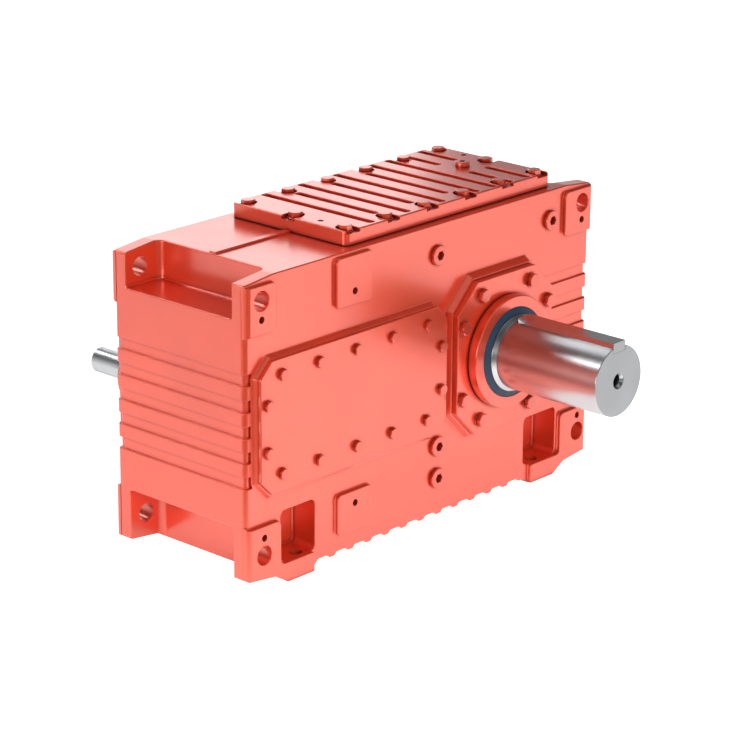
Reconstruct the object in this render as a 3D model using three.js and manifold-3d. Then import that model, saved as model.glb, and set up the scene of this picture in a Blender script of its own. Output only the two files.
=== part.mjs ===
// Foot-mounted parallel-shaft helical gear reducer, three stages, one-piece cast housing.
// Millimetres, +Z up. The shafts run along Y: the output shaft leaves through the front face (-Y),
// the input shaft through the rear face. The model is laid out with X from the left end face,
// Y from the front face of the housing and Z from the foot plane. The returned group is shifted so
// that its origin is on the foot plane, under the middle of the length and of the overall depth.
import * as THREE from "three";
import { mergeVertices } from "three/addons/utils/BufferGeometryUtils.js";
import Module from "manifold-3d";

const manifold = await Module();
manifold.setup();

// ---------- driving dimensions ----------
const LENGTH = 975; // housing, along X
const WIDTH = 336; // housing, along Y
const TOP = 597; // top face of the housing
const SHAFT_HEIGHT = 315; // all four axes above the foot plane
const WALL = 22;
const GAP = 0.3; // fitting gap between neighbouring pieces
const BEYOND = 30; // how far some cutting solids reach past the housing

// gear train: transverse module, face = [y0, y1], hand = direction of the helix
const HELIX = radians(10); // at the pitch circle
const PRESSURE_ANGLE = radians(20);
const BACKLASH = 0.5; // taken off the thickness of every tooth
const STAGES = [
  { module: 4, pinion: { teeth: 17, face: [233, 279] }, wheel: { teeth: 50, face: [236, 276] }, hand: 1 },
  { module: 5, pinion: { teeth: 16, face: [167, 229] }, wheel: { teeth: 56, face: [170, 228] }, hand: -1 },
  { module: 7, pinion: { teeth: 16, face: [70, 164] }, wheel: { teeth: 60, face: [72, 162] }, hand: 1 },
];
const centreDistance = ({ module, pinion, wheel }) => (module * (pinion.teeth + wheel.teeth)) / 2;

// shaft axes along X
const AXIS = { input: 108 };
AXIS.first = AXIS.input + centreDistance(STAGES[0]);
AXIS.second = AXIS.first + centreDistance(STAGES[1]);
AXIS.output = AXIS.second + centreDistance(STAGES[2]);

// tapered roller bearings: radii, width, how far they stand out of the housing face;
// ring = width and inner end of the stiffening ring round the bore
const BEARING = {
  input: { bore: 30, outer: 55, width: 30, out: 3, ring: [13, 30], coneSegments: 20 },
  first: { bore: 32.5, outer: 60, width: 33, out: 3, ring: [17, 33], coneSegments: 16 },
  second: { bore: 50, outer: 90, width: 49, out: 3, ring: [16, 48], coneSegments: 16 },
  output: { bore: 80, outer: 120, width: 51, out: 6, ring: [18, 48], coneSegments: 24 },
};
const bearingInnerEnd = (kind) => BEARING[kind].width - BEARING[kind].out;

const OUTPUT_SHAFT = { radius: 70, journal: 72.5, end: -305 };
const INPUT_SHAFT = { radius: 25, journal: 27.5, end: 497 };

// hexagon bolts: distance across flats, head height, shank radius
const BOLT = { flats: 24, head: 10, shank: 7.9 };
const BOLT_HOLE = BOLT.shank + GAP;

const root = new THREE.Group();
root.position.set(-LENGTH / 2, -(OUTPUT_SHAFT.end + INPUT_SHAFT.end) / 2, 0);

// ---------- materials ----------
function material(color, roughness, metalness) {
  return new THREE.MeshStandardMaterial({ color, roughness, metalness });
}
const paint = (color) => material(color, 0.32, 0);
const metal = (color, roughness) => material(color, roughness, 1);
const RED = paint(0xe8503f);
const RED_BOLT = paint(0xe04a3a);
const STEEL = metal(0xb9bcc0, 0.28);
const GEAR_STEEL = metal(0x8f9296, 0.35);
const BEARING_STEEL = metal(0xc6c9cc, 0.2);
const RUBBER = material(0x283e55, 0.5, 0);
const GASKET = material(0x3a1512, 0.8, 0);

// ---------- solids and meshes ----------
// closed three.js geometry to a solid with its faces turned outwards
function solid(geometry) {
  const loose = geometry.index ? geometry.toNonIndexed() : geometry.clone();
  loose.deleteAttribute("normal");
  loose.deleteAttribute("uv");
  const merged = mergeVertices(loose, 1e-4);
  const index = merged.index.array;
  const positions = merged.attributes.position;
  const corner = (i) => new THREE.Vector3().fromBufferAttribute(positions, i);
  const triangles = [];
  let volume = 0;
  for (let i = 0; i < merged.index.count; i += 3) {
    const [a, b, c] = index.slice(i, i + 3);
    if (a === b || b === c || c === a) continue;
    triangles.push(a, b, c);
    volume += corner(a).dot(corner(b).cross(corner(c)));
  }
  if (volume < 0) {
    for (let i = 0; i < triangles.length; i += 3) {
      [triangles[i + 1], triangles[i + 2]] = [triangles[i + 2], triangles[i + 1]];
    }
  }
  return new manifold.Manifold(
    new manifold.Mesh({
      numProp: 3,
      vertProperties: positions.array,
      triVerts: new Uint32Array(triangles),
    }),
  );
}

function add(name, made, surface) {
  const { vertProperties, triVerts } = made.asOriginal().simplify(0.002).getMesh();
  const geometry = new THREE.BufferGeometry();
  geometry.setAttribute("position", new THREE.BufferAttribute(new Float32Array(vertProperties), 3));
  geometry.setIndex(new THREE.BufferAttribute(new Uint32Array(triVerts), 1));
  geometry.computeVertexNormals();
  const mesh = new THREE.Mesh(geometry, surface);
  mesh.name = name;
  root.add(mesh);
}

const join = (parts) => parts.reduce((sum, part) => sum.add(part));
// the same feature on the rear face
const behind = (made) => made.mirror([0, 1, 0]).translate([0, WIDTH, 0]);
const bothFaces = (made) => made.add(behind(made));
const SIDES = { front: (made) => made, rear: behind };

// ---------- outlines: lists of points in a plane ----------
function radians(degrees) {
  return (degrees * Math.PI) / 180;
}
// rectangle with rounded corners
function rounded(x0, x1, y0, y1, radius, steps = 2) {
  const corners = [
    [x1 - radius, y1 - radius, 0],
    [x0 + radius, y1 - radius, 90],
    [x0 + radius, y0 + radius, 180],
    [x1 - radius, y0 + radius, 270],
  ];
  const points = [];
  for (const [x, y, start] of corners) {
    for (let i = 0; i <= steps; i++) {
      const angle = radians(start + (90 * i) / steps);
      points.push([x + radius * Math.cos(angle), y + radius * Math.sin(angle)]);
    }
  }
  return points;
}
// rectangle with 45 degree corners
function chamfered(x0, x1, z0, z1, cut) {
  return [
    [x0 + cut, z0], [x1 - cut, z0], [x1, z0 + cut], [x1, z1 - cut],
    [x1 - cut, z1], [x0 + cut, z1], [x0, z1 - cut], [x0, z0 + cut],
  ];
}
function hexagon(x, z, flats) {
  const radius = flats / Math.sqrt(3);
  return [0, 1, 2, 3, 4, 5].map((i) => {
    const angle = (i * Math.PI) / 3;
    return [x + radius * Math.cos(angle), z + radius * Math.sin(angle)];
  });
}

// ---------- basic solids ----------
function extruded(outline, depth, steps = 1) {
  const shape = new THREE.Shape(outline.map(([a, b]) => new THREE.Vector2(a, b)));
  return new THREE.ExtrudeGeometry(shape, { depth, steps, bevelEnabled: false });
}
// lays an extrusion along y, its start at y1 and its end towards the front
function laidAlongY(geometry, y1) {
  geometry.rotateX(Math.PI / 2);
  geometry.translate(0, y1, 0);
  return solid(geometry);
}
// outline in (x, z), swept along y
const alongY = (outline, y0, y1) => laidAlongY(extruded(outline, y1 - y0), y1);

// as alongY, with the outline changing from "outer" at y1 to "inner" at y0: drafted sides
function drafted(outer, inner, y0, y1) {
  const geometry = extruded(outer, y1 - y0);
  const points = geometry.attributes.position;
  for (let i = 0; i < points.count; i++) {
    if (points.getZ(i) < 1e-6) continue;
    const match = outer.findIndex(
      ([a, b]) => Math.hypot(a - points.getX(i), b - points.getY(i)) < 1e-3,
    );
    points.setXY(i, ...inner[match]);
  }
  return laidAlongY(geometry, y1);
}
// outline in (x, y), swept along z
function alongZ(outline, z0, z1) {
  const geometry = extruded(outline, z1 - z0);
  geometry.translate(0, 0, z0);
  return solid(geometry);
}
function box(x0, x1, y0, y1, z0, z1) {
  const geometry = new THREE.BoxGeometry(x1 - x0, y1 - y0, z1 - z0);
  geometry.translate((x0 + x1) / 2, (y0 + y1) / 2, (z0 + z1) / 2);
  return solid(geometry);
}
// closed profile of [radius, y], turned about an axis along y
function turned(profile, x, segments = 16, z = SHAFT_HEIGHT) {
  const points = profile.map(([radius, y]) => new THREE.Vector2(radius, y));
  if (profile[0][0] > 0) points.push(points[0].clone());
  const geometry = new THREE.LatheGeometry(points, segments);
  geometry.translate(x, 0, z);
  return solid(geometry);
}
function rod(x, z, radius, y0, y1, segments = 16) {
  return turned([[0, y0], [radius, y0], [radius, y1], [0, y1]], x, segments, z);
}
function tube(x, inner, outer, y0, y1, segments = 16) {
  return turned([[inner, y0], [outer, y0], [outer, y1], [inner, y1]], x, segments);
}
function rodZ(x, y, radius, z0, z1, segments = 12) {
  const geometry = new THREE.CylinderGeometry(radius, radius, z1 - z0, segments);
  geometry.rotateX(Math.PI / 2);
  geometry.translate(x, y, (z0 + z1) / 2);
  return solid(geometry);
}

// ---------- features shared by the housing and its covers ----------
const LEFT_BOSS = 10; // height of the elongated boss above the side face
const OUTPUT_BOSS = 15; // height of the octagonal boss above the side face

const COVER = { x0: 285, x1: 873, y0: 20, y1: 316, z0: TOP + 2.1, z1: TOP + 29, corner: 12 };
const COVER_BOLTS = [
  ...[306, 415, 524, 634, 744, 850].flatMap((x) => [[x, 43], [x, 292]]),
  [306, 168],
  [852, 168],
]; // x, y
const OPENING = rounded(326, 832, 62, 273, 18); // in the top face

const OUTPUT_BOLT_CIRCLE = 145; // radius
const OUTPUT_BOLTS = [30, 60, 120, 150, 210, 240, 300, 330].map((degrees) => [
  AXIS.output + OUTPUT_BOLT_CIRCLE * Math.cos(radians(degrees)),
  SHAFT_HEIGHT + OUTPUT_BOLT_CIRCLE * Math.sin(radians(degrees)),
]); // x, z

const PLUGS = {
  fill: [516.6, 536.5],
  level: [850.6, 536.5],
  check: [521, 153],
  drain: [521, 88],
}; // x, z
const PLUG = {
  flange: 19.5, // radius
  flangeHeight: 8,
  chamfer: 1.5,
  thread: 16.2, // radius
  threadLength: 18,
  flats: 17, // across the hexagon socket
  socket: 9, // depth
};

// ---------- housing ----------
const CORNER = 10; // vertical corner radius of the casting
const SHOULDER = { run: 75, drop: 8 }; // slope of the top towards each end
const FOOT = [[0, 28], [70, 20], [104, 0], [174, 0]]; // underside, x from an end face, z
const fromRight = ([x, z]) => [LENGTH - x, z];
const BOTTOM_RIB = { first: 230, limit: 790, pitch: 50.1, base: 12, crest: 6, baseZ: 16, crestZ: 10 };
const END_GROOVES = [[204.5, 229], [253, 277], [301, 326], [350, 375], [400, 424]]; // z0, z1
const GROOVE_FLOOR = 4.5; // depth of the end grooves
const PAD = { height: 8, root: 6 }; // pads stand 8 out and are rooted 6 into the casting
const END_RECESS = { top: 86, bottom: 82, lug: 32 }; // depths along X, lug thickness along Y

function castingBlock() {
  const { first, limit, pitch, base, crest, baseZ, crestZ } = BOTTOM_RIB;
  const ribs = [];
  for (let x = first; x < limit; x += pitch) {
    ribs.push([x - base, baseZ], [x - crest, crestZ], [x + crest, crestZ], [x + base, baseZ]);
  }
  const silhouette = [
    ...FOOT,
    [192, baseZ],
    ...ribs,
    [784, baseZ],
    ...FOOT.map(fromRight).reverse(),
    [LENGTH, TOP - SHOULDER.drop],
    [LENGTH - SHOULDER.run, TOP],
    [SHOULDER.run, TOP],
    [0, TOP - SHOULDER.drop],
  ];
  const plan = alongZ(rounded(0, LENGTH, 0, WIDTH, CORNER), -5, TOP + 5);
  return alongY(silhouette, 0, WIDTH).intersect(plan);
}

// grooves that leave horizontal ribs on the ends and wrap round the corners
function endGrooves() {
  const zones = box(-5, 19, -5, WIDTH + 5, 190, 440).add(
    box(830, LENGTH + 5, -5, WIDTH + 5, 190, 440),
  );
  const floor = rounded(
    GROOVE_FLOOR, LENGTH - GROOVE_FLOOR, GROOVE_FLOOR, WIDTH - GROOVE_FLOOR, CORNER - 3,
  );
  const around = rounded(-20, LENGTH + 20, -20, WIDTH + 20, 2);
  const bands = END_GROOVES.map(([z0, z1]) =>
    alongZ(around, z0, z1).subtract(alongZ(floor, z0 - 1, z1 + 1)),
  );
  return join(bands).intersect(zones);
}

// raised pads on both side faces: four at the corners, two above and below the left boss
function pads() {
  const square = (x0, x1, z0, z1) => box(x0, x1, -PAD.height, PAD.root, z0, z1);
  const footPad = (outline) => alongY(outline, -PAD.height, PAD.root);
  const leftFoot = [...FOOT, [174, 40], [85, 40], [85, 128], [0, 128]];
  const rightFoot = [...FOOT.map(fromRight), [801, 40], [892, 40], [892, 125], [LENGTH, 125]];
  return [
    square(0, 75, 493, 585),
    square(889, LENGTH, 495, 585),
    footPad(leftFoot),
    footPad(rightFoot),
    square(231, 329, 495, 590),
    square(236, 330, 50, 131),
  ].map(bothFaces);
}

function boss(outer, inner, height) {
  return bothFaces(drafted(outer, inner, -height, 0).add(alongY(outer, -0.5, 6)));
}
function bosses() {
  const octagon = (halfWidth, halfHeight, cut) =>
    chamfered(
      AXIS.output - halfWidth, AXIS.output + halfWidth,
      SHAFT_HEIGHT - halfHeight, SHAFT_HEIGHT + halfHeight, cut,
    );
  return [
    boss(
      chamfered(18.5, 534.5, 176, 449, 35),
      chamfered(23.2, 529.8, 181.5, 443.5, 33),
      LEFT_BOSS,
    ),
    boss(octagon(148, 165.5, 61), octagon(142.5, 157.5, 58), OUTPUT_BOSS),
  ];
}

// ridge along the middle of the top face, interrupted by the inspection cover
function topRidge() {
  const piece = (x0, x1) => box(x0, x1, 160, 176, TOP - 7, TOP + 4);
  return [
    piece(END_RECESS.top, COVER.x0 - 0.5),
    piece(COVER.x1 + 0.5, LENGTH - END_RECESS.top),
  ];
}

// inside of the casting, less the stiffening rings round the bearing bores
function cavity() {
  const inside = join([
    box(WALL, LENGTH - WALL, WALL, WIDTH - WALL, 165, 500),
    box(205, 770, WALL, WIDTH - WALL, 38, TOP - WALL),
    box(109, 866, WALL, WIDTH - WALL, 300, TOP - WALL),
    box(105, 870, 68, WIDTH - 68, 40, 170),
  ]);
  const rings = Object.entries(BEARING).map(([kind, { outer, ring: [width, end] }]) =>
    bothFaces(rod(AXIS[kind], SHAFT_HEIGHT, outer + width, 0, end)),
  );
  return inside.subtract(join(rings));
}

function bearingBores() {
  return Object.entries(BEARING).map(([kind, { outer }]) =>
    rod(AXIS[kind], SHAFT_HEIGHT, outer + GAP, -20, WIDTH + 20),
  );
}

// recesses in the four end corners, leaving two lugs each
function endRecesses() {
  const recess = (x0, x1, z0, z1) =>
    alongZ(rounded(x0, x1, END_RECESS.lug, WIDTH - END_RECESS.lug, 14), z0, z1);
  return [[END_RECESS.top, 522, 620], [END_RECESS.bottom, -10, 127]].flatMap(([depth, z0, z1]) => [
    recess(-BEYOND, depth, z0, z1),
    recess(LENGTH - depth, LENGTH + BEYOND, z0, z1),
  ]);
}

// pockets over the feet and the foundation holes below them
function footCuts() {
  const pockets = [[91, 182], [LENGTH - 190, LENGTH - 91]].map(([x0, x1]) =>
    bothFaces(alongY(rounded(x0, x1, 40, 140, 12), -12, 58)),
  );
  const holes = [146, LENGTH - 146].flatMap((x) =>
    [16, WIDTH - 16].map((y) => rodZ(x, y, 13, -5, 60)),
  );
  return [...pockets, ...holes];
}

// holes in both side faces: through the lugs, small blind ones in the pads, and for the plugs
function sideHoles() {
  const lugHoles = [[36.5, 556], [941.5, 555.5], [41, 71], [945.7, 74.3]];
  const padHoles = [[36.5, 521], [941, 521], [41, 105], [945, 108.6], [280, 521], [283, 106]];
  return bothFaces(
    join([
      ...lugHoles.map(([x, z]) => rod(x, z, 18.5, -20, 40, 12)),
      ...padHoles.map(([x, z]) => rod(x, z, 6.5, -20, 14, 8)),
      ...Object.values(PLUGS).map(([x, z]) => rod(x, z, PLUG.thread + GAP, -20, WALL + 5, 12)),
    ]),
  );
}

function tappedHoles() {
  return [
    ...COVER_BOLTS.map(([x, y]) => rodZ(x, y, BOLT_HOLE, TOP - 18, TOP + 10, 6)),
    ...OUTPUT_BOLTS.map(([x, z]) => rod(x, z, BOLT_HOLE, -20, 14, 6)),
  ];
}

function housing() {
  const padLimit = alongZ(
    rounded(0, LENGTH, -PAD.height, WIDTH + PAD.height, CORNER), -5, TOP + 5,
  );
  const padded = join([castingBlock().subtract(endGrooves()), ...pads()]).intersect(padLimit);
  return [
    cavity(),
    ...bearingBores(),
    alongZ(OPENING, TOP - 30, TOP + 10),
    ...endRecesses(),
    ...footCuts(),
    sideHoles(),
    ...tappedHoles(),
  ].reduce((body, cut) => body.subtract(cut), join([padded, ...bosses(), ...topRidge()]));
}
add("housing", housing(), RED);

// ---------- inspection cover, gasket and vent ----------
const COVER_GROOVE = { count: 10, first: 375, pitch: 49.7, width: 17, depth: 8 }; // right edges
const COVER_POCKET = { radius: 17, depth: 7 }; // round each bolt place
const COVER_HOLES = [[307, 105], [854, 228]]; // x, y
const VENT = { x: 787, y: 174, head: 14.5, shank: 12, hole: 12.3, flats: 12, bottom: 606 };
const coverHole = (x, y, radius, segments) => rodZ(x, y, radius, 590, 640, segments);

// y spans of groove i: shortened beside the edge bolts, parted in the middle at the right end
function coverGrooveSpans(i) {
  if (i >= 8) return [[28, 135], [213, 310]];
  return [1, 3, 5].includes(i) ? [[64, 271]] : [[28, 310]];
}
function coverGrooves() {
  const { count, first, pitch, width, depth } = COVER_GROOVE;
  const grooves = [];
  for (let i = 0; i < count; i++) {
    const x = first + pitch * i;
    for (const [y0, y1] of coverGrooveSpans(i)) {
      grooves.push(alongZ(rounded(x - width, x, y0, y1, 3, 1), COVER.z1 - depth, COVER.z1 + 5));
    }
  }
  return grooves;
}
// round pocket that runs out through the nearest edge of the cover
function coverPocket([x, y]) {
  const { radius, depth } = COVER_POCKET;
  const z0 = COVER.z1 - depth;
  const z1 = COVER.z1 + 5;
  let runOut = [x, 900, y - radius, y + radius];
  if (y < 100) runOut = [x - radius, x + radius, 0, y];
  else if (y > 250) runOut = [x - radius, x + radius, y, WIDTH];
  else if (x < 400) runOut = [250, x, y - radius, y + radius];
  return rodZ(x, y, radius, z0, z1).add(box(...runOut, z0, z1));
}
function inspectionCover() {
  const plate = rounded(COVER.x0, COVER.x1, COVER.y0, COVER.y1, COVER.corner, 3);
  return [
    ...coverGrooves(),
    ...COVER_BOLTS.map(coverPocket),
    ...COVER_BOLTS.map(([x, y]) => coverHole(x, y, BOLT_HOLE, 6)),
    ...COVER_HOLES.map(([x, y]) => coverHole(x, y, 6, 8)),
    coverHole(VENT.x, VENT.y, VENT.hole, 16),
  ].reduce((body, cut) => body.subtract(cut), alongZ(plate, COVER.z0, COVER.z1));
}
function gasket() {
  const inset = 1.5;
  const outline = rounded(
    COVER.x0 + inset, COVER.x1 - inset, COVER.y0 + inset, COVER.y1 - inset, COVER.corner - 2,
  );
  const holes = COVER_BOLTS.map(([x, y]) => rodZ(x, y, BOLT.shank + 0.6, 590, 610, 6));
  return alongZ(outline, TOP + 0.2, COVER.z0 - 0.2)
    .subtract(alongZ(OPENING, 590, 610))
    .subtract(join(holes));
}
function ventPlug() {
  const { x, y, head, shank, flats, bottom } = VENT;
  return rodZ(x, y, head, COVER.z1 + GAP, COVER.z1 + 10, 16)
    .add(rodZ(x, y, shank, bottom, COVER.z1 + 5, 16))
    .subtract(alongZ(hexagon(x, y, flats), COVER.z1 + 1, COVER.z1 + 20));
}
add("inspection_cover", inspectionCover(), RED);
add("inspection_cover_gasket", gasket(), GASKET);
add("vent_plug", ventPlug(), RED_BOLT);

// ---------- screw plugs of both side faces ----------
function screwPlug(x, z) {
  const { flange, flangeHeight, chamfer, thread, threadLength, flats, socket } = PLUG;
  const profile = [
    [0, -flangeHeight], [flange - chamfer, -flangeHeight], [flange, -flangeHeight + chamfer],
    [flange, -GAP], [thread, -GAP], [thread, threadLength], [0, threadLength],
  ];
  return turned(profile, x, 12, z).subtract(
    alongY(hexagon(x, z, flats), -20, -flangeHeight + socket),
  );
}
for (const [label, [x, z]] of Object.entries(PLUGS)) {
  for (const [side, place] of Object.entries(SIDES)) {
    add(`${side}_${label}_plug`, place(screwPlug(x, z)), RED_BOLT);
  }
}

// ---------- bearing covers ----------
const LEFT_COVER = 6.7; // thickness of the elongated cover
const OUTPUT_COVER = 12.7; // thickness of the octagonal cover
const LEFT_FACE = -LEFT_BOSS - GAP - LEFT_COVER; // front face of the elongated cover
const OUTPUT_FACE = -OUTPUT_BOSS - GAP - OUTPUT_COVER; // front face of the octagonal cover

function leftCover() {
  return alongY(chamfered(24, 529, 188, 442, 29), LEFT_FACE, -LEFT_BOSS - GAP);
}
// octagonal plate with a spigot in the bearing bore
function octagonCover() {
  const outline = chamfered(AXIS.output - 141, AXIS.output + 141, 160, 469, 56);
  return alongY(outline, OUTPUT_FACE, -OUTPUT_BOSS - GAP).add(
    tube(AXIS.output, 102, BEARING.output.outer - GAP, -OUTPUT_BOSS - 2, -6.5),
  );
}
function frontOutputCover() {
  const boltHoles = OUTPUT_BOLTS.map(([x, z]) => rod(x, z, BOLT_HOLE, -40, 5, 6));
  return octagonCover()
    .subtract(join(boltHoles))
    .subtract(rod(AXIS.output, SHAFT_HEIGHT, 95, -60, 0, 24));
}
function outputCoverBolt(x, z) {
  const underHead = OUTPUT_FACE - GAP;
  return alongY(hexagon(x, z, BOLT.flats), underHead - BOLT.head, underHead).add(
    rod(x, z, BOLT.shank, OUTPUT_FACE - 2, 10, 6),
  );
}
const inputOpening = rod(AXIS.input, SHAFT_HEIGHT, 44, 300, 400);
add("front_bearing_cover", leftCover(), RED);
add("rear_bearing_cover", behind(leftCover()).subtract(inputOpening), RED);
add("output_bearing_cover", frontOutputCover(), RED);
add("rear_output_cover", behind(octagonCover()), RED);
OUTPUT_BOLTS.forEach(([x, z], i) => {
  add(`output_cover_bolt_${i + 1}`, outputCoverBolt(x, z), RED_BOLT);
});

// ---------- seals ----------
const OUTPUT_RETAINER_END = -50;
const INPUT_RETAINER_END = 386;

function outputSealRetainer() {
  const end = OUTPUT_RETAINER_END;
  const start = OUTPUT_FACE - GAP;
  const profile = [
    [77, start], [112, start], [112, end + 2], [110, end], [88, end], [88, end + 16], [77, end + 16],
  ];
  return turned(profile, AXIS.output, 24);
}
function outputShaftSeal() {
  const end = OUTPUT_RETAINER_END;
  return tube(AXIS.output, 73.9, 87.6, end + 0.5, end + 15.6, 24);
}
function inputSealRetainer() {
  const end = INPUT_RETAINER_END;
  const start = WIDTH - LEFT_FACE + GAP;
  const profile = [
    [30, start], [60, start], [60, end - 2], [58, end], [40.3, end], [40.3, end - 11], [30, end - 11],
  ];
  return turned(profile, AXIS.input, 20);
}
function inputShaftSeal() {
  const end = INPUT_RETAINER_END;
  return tube(AXIS.input, 28.2, 40, end - 10.6, end - 0.4, 20);
}
add("output_seal_retainer", outputSealRetainer(), RED);
add("output_shaft_seal", outputShaftSeal(), RUBBER);
add("input_seal_retainer", inputSealRetainer(), RED);
add("input_shaft_seal", inputShaftSeal(), RUBBER);

// ---------- gears ----------
// helical teeth, straight from foot to tip with the thickness of an involute at both;
// firstTooth is the direction of one tooth at the middle of the face
function toothed({ module, teeth, face: [y0, y1], twist, steps, firstTooth }) {
  const pitch = (module * teeth) / 2;
  const base = pitch * Math.cos(PRESSURE_ANGLE);
  const tip = pitch + module;
  const foot = pitch - 1.25 * module;
  const involute = (radius) => {
    const angle = Math.acos(Math.min(1, base / radius));
    return Math.tan(angle) - angle;
  };
  const halfAtPitch = (Math.PI * module * 0.5 - BACKLASH) / (2 * pitch);
  const halfAt = (radius) => halfAtPitch + involute(pitch) - involute(Math.max(radius, base));
  const outline = [];
  for (let i = 0; i < teeth; i++) {
    const middle = firstTooth + (2 * Math.PI * i) / teeth;
    for (const [radius, side] of [[foot, -1], [tip, -1], [tip, 1], [foot, 1]]) {
      const angle = middle + side * halfAt(radius);
      outline.push([radius * Math.cos(angle), radius * Math.sin(angle)]);
    }
  }
  const geometry = extruded(outline, y1 - y0, steps);
  const points = geometry.attributes.position;
  const rate = (twist * Math.tan(HELIX)) / pitch;
  for (let i = 0; i < points.count; i++) {
    const angle = rate * (points.getZ(i) - (y1 - y0) / 2);
    const [x, y] = [points.getX(i), points.getY(i)];
    const [cos, sin] = [Math.cos(angle), Math.sin(angle)];
    points.setXY(i, x * cos - y * sin, x * sin + y * cos);
  }
  return laidAlongY(geometry, y1);
}
// a pinion points a tooth to the right, its wheel a gap to the left, so that they mesh
function pinionTeeth({ module, pinion, hand }, x) {
  return toothed({ module, ...pinion, twist: hand, steps: 2, firstTooth: 0 })
    .translate([x, 0, SHAFT_HEIGHT]);
}
function wheelTeeth({ module, wheel, hand }, x) {
  const firstTooth = Math.PI + Math.PI / wheel.teeth;
  return toothed({ module, ...wheel, twist: -hand, steps: 1, firstTooth })
    .translate([x, 0, SHAFT_HEIGHT]);
}

// ---------- keys ----------
// shaft = shaft radius, seat = depth in the shaft, y0 and y1 = ends of the seat,
// headroom = space over the key in the wheel
const KEY = {
  input: { shaft: INPUT_SHAFT.radius, width: 14, height: 9, seat: 5.5, y0: 400, y1: 490 },
  first: { shaft: 38, width: 20, height: 12, seat: 7.5, y0: 238, y1: 276, headroom: 0.5 },
  second: { shaft: 58, width: 32, height: 18, seat: 11, y0: 173, y1: 228, headroom: 0.6 },
  wheel: { shaft: 88, width: 45, height: 25, seat: 15, y0: 76, y1: 158, headroom: 0.6 },
  // the seat runs out through the shaft end
  output: {
    shaft: OUTPUT_SHAFT.radius, width: 36, height: 20, seat: 12, y0: OUTPUT_SHAFT.end - 10, y1: -78,
  },
};
const keyFloor = ({ shaft, seat }) => SHAFT_HEIGHT + shaft - seat;

function keyBlock(x, key, y0, y1, height) {
  const floor = keyFloor(key);
  return box(x - key.width / 2, x + key.width / 2, y0, y1, floor, floor + height);
}
function keySeat(x, key) {
  const half = key.width / 2 + GAP;
  const floor = keyFloor(key);
  return box(x - half, x + half, key.y0 - GAP, key.y1 + GAP, floor - GAP, floor + 30);
}
// key under a wheel, a little shorter than its seat
const wheelKey = (x, key) => keyBlock(x, key, key.y0, key.y1 - 0.4, key.height);

// wheel with its bore and keyway
function keyedWheel(stage, x, key, segments = 16) {
  const keyway = keyBlock(
    x, { ...key, width: key.width + 2 * GAP }, 0, WIDTH, key.height + key.headroom,
  );
  return wheelTeeth(stage, x)
    .subtract(rod(x, SHAFT_HEIGHT, key.shaft + GAP, 0, WIDTH, segments))
    .subtract(keyway);
}

// ---------- bearings ----------
function bearingCup({ bore, outer, width, out }, x) {
  const thickness = outer - bore;
  const y0 = -out;
  const y1 = y0 + 0.82 * width;
  const profile = [
    [outer - 0.3 * thickness, y0], [outer, y0], [outer, y1], [outer - 0.12 * thickness, y1],
  ];
  return turned(profile, x);
}
function bearingCone({ bore, outer, width, out, coneSegments }, x) {
  const thickness = outer - bore;
  const y0 = -out + 0.12 * width;
  const profile = [
    [bore + GAP, y0],
    [outer - 0.42 * thickness, y0],
    [outer - 0.24 * thickness, -out + 0.84 * width],
    [bore + GAP, -out + width],
  ];
  return turned(profile, x, coneSegments);
}
function addBearings(name, kind) {
  for (const [side, place] of Object.entries(SIDES)) {
    const prefix = `${name}_${side}_bearing`;
    add(`${prefix}_cup`, place(bearingCup(BEARING[kind], AXIS[kind])), BEARING_STEEL);
    add(`${prefix}_cone`, place(bearingCone(BEARING[kind], AXIS[kind])), BEARING_STEEL);
  }
}

// ---------- input pinion shaft, driven from the rear face ----------
// shaft profiles are [radius, y] from the front end to the rear end
function inputShaft() {
  const x = AXIS.input;
  const { radius, journal, end } = INPUT_SHAFT;
  const { bore } = BEARING.input;
  const profile = [
    [0, -2], [bore - 1, -2], [bore, -1], [bore, 27.6], [36, 27.6], [36, 32], [27, 34],
    [27, 302], [36, 304], [36, 308.4], [bore, 308.4], [bore, 342], [journal, 344],
    [journal, 389], [radius, 391], [radius, end - 2], [radius - 2, end], [0, end],
  ];
  const centreHole = [[0, end - 30], [8, end - 30], [8, end - 5], [12, end + 1], [0, end + 1]];
  return turned(profile, x, 20)
    .add(pinionTeeth(STAGES[0], x))
    .subtract(keySeat(x, KEY.input))
    .subtract(turned(centreHole, x, 12));
}
// key with rounded ends
function inputKey() {
  const x = AXIS.input;
  const { width, height, y0, y1 } = KEY.input;
  const half = width / 2;
  const floor = keyFloor(KEY.input);
  const outline = rounded(x - half, x + half, y0 + 0.2, y1 - 0.2, half - 0.4, 3);
  return alongZ(outline, floor, floor + height);
}
add("input_pinion_shaft", inputShaft(), STEEL);
add("input_shaft_key", inputKey(), STEEL);
addBearings("input", "input");

// ---------- intermediate shafts: wheel of one stage, pinion of the next ----------
const INTERMEDIATE = {
  first: {
    driven: STAGES[0],
    driving: STAGES[1],
    spacer: 44, // outer radius
    profile: [
      [0, -2], [31.5, -2], [32.5, -1], [32.5, 30.4], [40, 30.4], [40, 36], [33, 38], [33, 229],
      [46, 231], [46, 235.7], [38, 235.7], [38, 276], [32.5, 276], [32.5, 337], [31.5, 338],
      [0, 338],
    ],
  },
  second: {
    driven: STAGES[1],
    driving: STAGES[2],
    spacer: 64,
    profile: [
      [0, -2], [48.5, -2], [50, -0.5], [50, 46.4], [58, 46.4], [58, 56], [46, 60], [46, 164],
      [66, 165], [66, 169.7], [58, 169.7], [58, 228], [50, 228], [50, 336.5], [48.5, 338],
      [0, 338],
    ],
  },
};
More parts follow.
